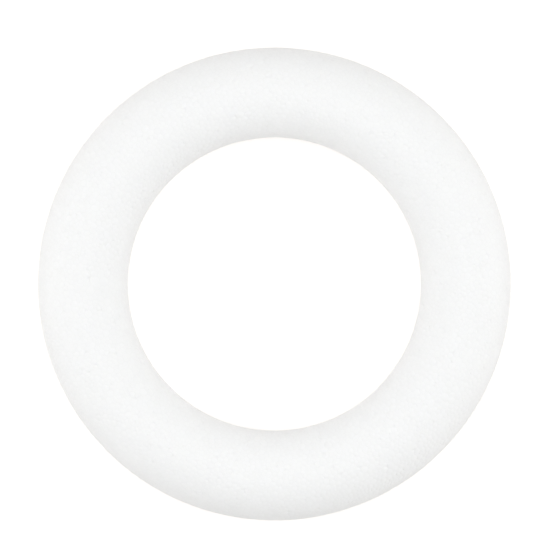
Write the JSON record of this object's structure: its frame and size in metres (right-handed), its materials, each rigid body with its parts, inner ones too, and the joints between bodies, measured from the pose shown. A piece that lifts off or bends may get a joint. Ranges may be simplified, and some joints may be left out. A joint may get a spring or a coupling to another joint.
{
  "type": "foam ring",
  "caption": "Thick ring of moulded bead foam with a full-round section, made of two half-round mouldings bonded at a tongue and groove.",
  "frame": {"origin": "centre of the ring, in the plane where its two halves meet", "axes": "+Z along the ring's axis, up when the ring lies flat; X and Y lie in the joint plane"},
  "size_m": [0.3, 0.3, 0.057],
  "materials": {
    "bead_foam": "matte",
    "dried_adhesive": "satin"
  },
  "bodies": {
    "root": {"upper_half": "bead_foam", "lower_half": "bead_foam", "adhesive_film": "dried_adhesive"}
  },
  "joints": []
}
